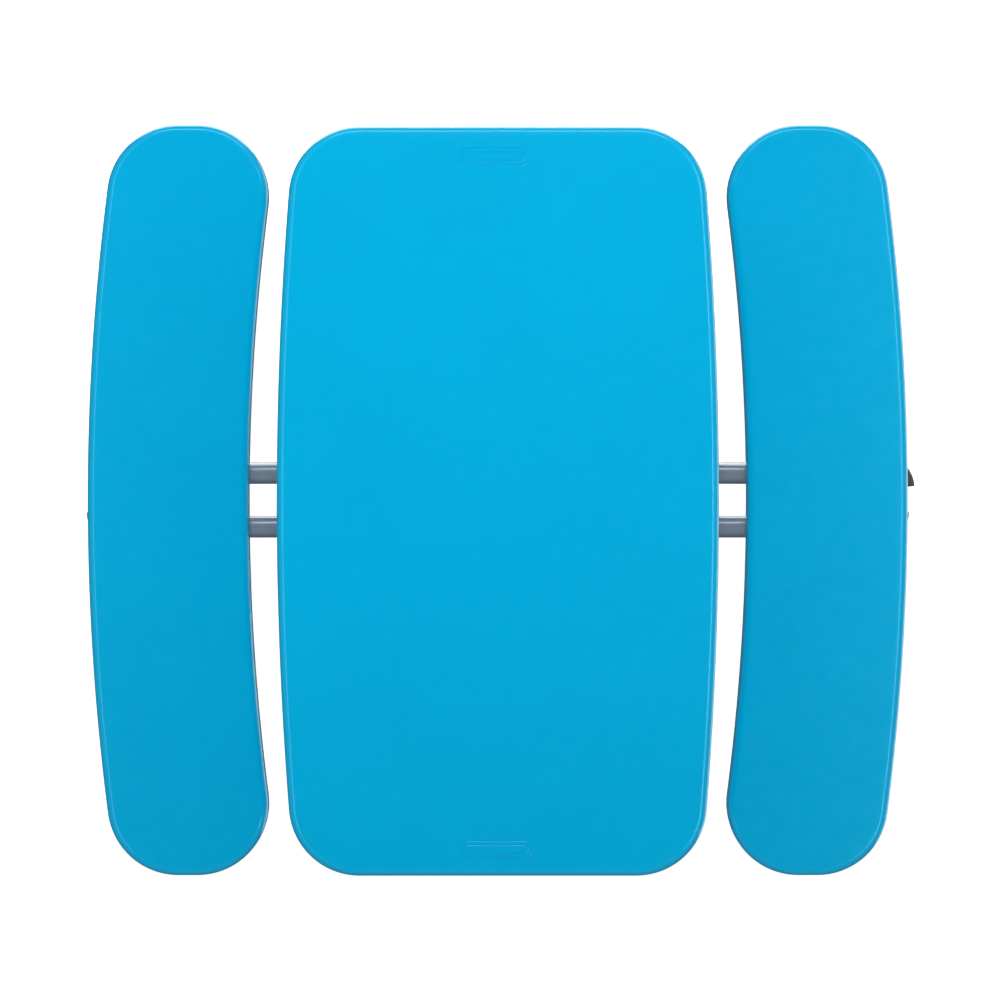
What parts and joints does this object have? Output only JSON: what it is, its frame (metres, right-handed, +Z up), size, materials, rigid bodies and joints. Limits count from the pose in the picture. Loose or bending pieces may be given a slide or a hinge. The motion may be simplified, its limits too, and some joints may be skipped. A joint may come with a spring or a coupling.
{
  "type": "folding children's picnic table",
  "caption": "Children's folding picnic table: a bowed blue plastic top on a scissor lift, two curved bench seats and hooped steel legs that swing in under the beams.",
  "frame": {"origin": "on the floor, at the middle of the table", "axes": "+X across from bench to bench, towards the release handle; +Y along the benches; +Z up"},
  "size_m": [0.9181, 0.824, 0.533],
  "materials": {
    "blue_hdpe": "blow-moulded polyethylene, fine orange-peel texture",
    "grey_steel": "grey powder coat",
    "black_plastic": "moulded, satin",
    "zinc_steel": "zinc plated"
  },
  "bodies": {
    "base": {"front_beam": "grey_steel", "rear_beam": "grey_steel", "left_rear_beam_plug": "black_plastic", "left_front_beam_plug": "black_plastic", "right_front_beam_plug": "black_plastic", "left_bench": "blue_hdpe", "right_bench": "blue_hdpe", "left_end_bracket": "grey_steel", "right_end_bracket": "grey_steel", "left_rear_saddle": "black_plastic", "left_front_saddle": "black_plastic", "right_rear_saddle": "black_plastic", "right_front_saddle": "black_plastic", "left_leg_clip": "black_plastic", "right_leg_clip": "black_plastic", "scissor_pivot_bracket": "grey_steel", "slide_tray": "grey_steel", "rear_arm_pivot_pin": "zinc_steel", "front_arm_pivot_pin": "zinc_steel", "lock_spring": "zinc_steel", "beam_rivet_1": "zinc_steel", "beam_rivet_2": "zinc_steel", "beam_rivet_3": "zinc_steel", "beam_rivet_4": "zinc_steel", "left_bench_screw_1": "zinc_steel", "left_bench_screw_2": "zinc_steel", "right_bench_screw_1": "zinc_steel", "right_bench_screw_2": "zinc_steel"},
    "left_leg_frame": {"left_leg": "grey_steel", "left_rear_leg_plug": "black_plastic", "left_front_leg_plug": "black_plastic", "left_rear_foot_pad": "black_plastic", "left_front_foot_pad": "black_plastic"},
    "right_leg_frame": {"right_leg": "grey_steel", "right_rear_leg_plug": "black_plastic", "right_front_leg_plug": "black_plastic", "right_rear_foot_pad": "black_plastic", "right_front_foot_pad": "black_plastic"},
    "inner_arms": {"rear_inner_arm": "grey_steel", "front_inner_arm": "grey_steel", "upper_slide_shaft": "zinc_steel", "rear_slide_bush": "black_plastic", "front_slide_bush": "black_plastic", "rear_cross_rivet": "zinc_steel", "front_cross_rivet": "zinc_steel"},
    "outer_arms": {"rear_outer_arm": "grey_steel", "front_outer_arm": "grey_steel", "upper_pivot_shaft": "zinc_steel", "rear_lower_slide_pin": "zinc_steel", "front_lower_slide_pin": "zinc_steel"},
    "top": {"table_top": "blue_hdpe", "top_pivot_bracket": "grey_steel", "top_slide_bracket": "grey_steel", "table_screw_1": "zinc_steel", "table_screw_2": "zinc_steel", "table_screw_3": "zinc_steel", "table_screw_4": "zinc_steel"},
    "release": {"release_handle": "black_plastic", "pull_rod": "zinc_steel"},
    "lock": {"lock_bar": "zinc_steel"}
  },
  "joints": [
    {"name": "top_fold", "type": "hinge", "parent": "base", "child": "inner_arms", "pos_m": [-0.18, 0, 0.25], "axis": [0, 1, 0], "range_deg": [0, 39.18]},
    {"name": "scissor_cross", "type": "hinge", "parent": "inner_arms", "child": "outer_arms", "pos_m": [-0.0407, 0, 0.3755], "axis": [0, 1, 0], "range_deg": [-78.4, 0]},
    {"name": "top_level", "type": "hinge", "parent": "outer_arms", "child": "top", "pos_m": [-0.18, 0, 0.501], "axis": [0, 1, 0], "range_deg": [0, 39.2]},
    {"name": "left_leg_fold", "type": "hinge", "parent": "base", "child": "left_leg_frame", "pos_m": [-0.385, 0, 0.221], "axis": [0, -1, 0], "range_deg": [0, 103.58]},
    {"name": "right_leg_fold", "type": "hinge", "parent": "base", "child": "right_leg_frame", "pos_m": [0.385, 0, 0.221], "axis": [0, 1, 0], "range_deg": [0, 103.58]},
    {"name": "release_pull", "type": "slide", "parent": "base", "child": "release", "axis": [1, 0, 0], "range_m": [0, 0.01], "stiffness_N_per_m": 900, "springref_m": -0.006},
    {"name": "lock_turn", "type": "hinge", "parent": "base", "child": "lock", "pos_m": [0.078, 0, 0.227], "axis": [0, 1, 0], "range_deg": [0, 23.6]}
  ],
  "couplings": [
    {"joint": "scissor_cross", "follows": "top_fold", "ratio": -2},
    {"joint": "top_level", "follows": "top_fold", "ratio": 1},
    {"joint": "lock_turn", "follows": "release_pull", "rad_per_m": 41.03}
  ]
}
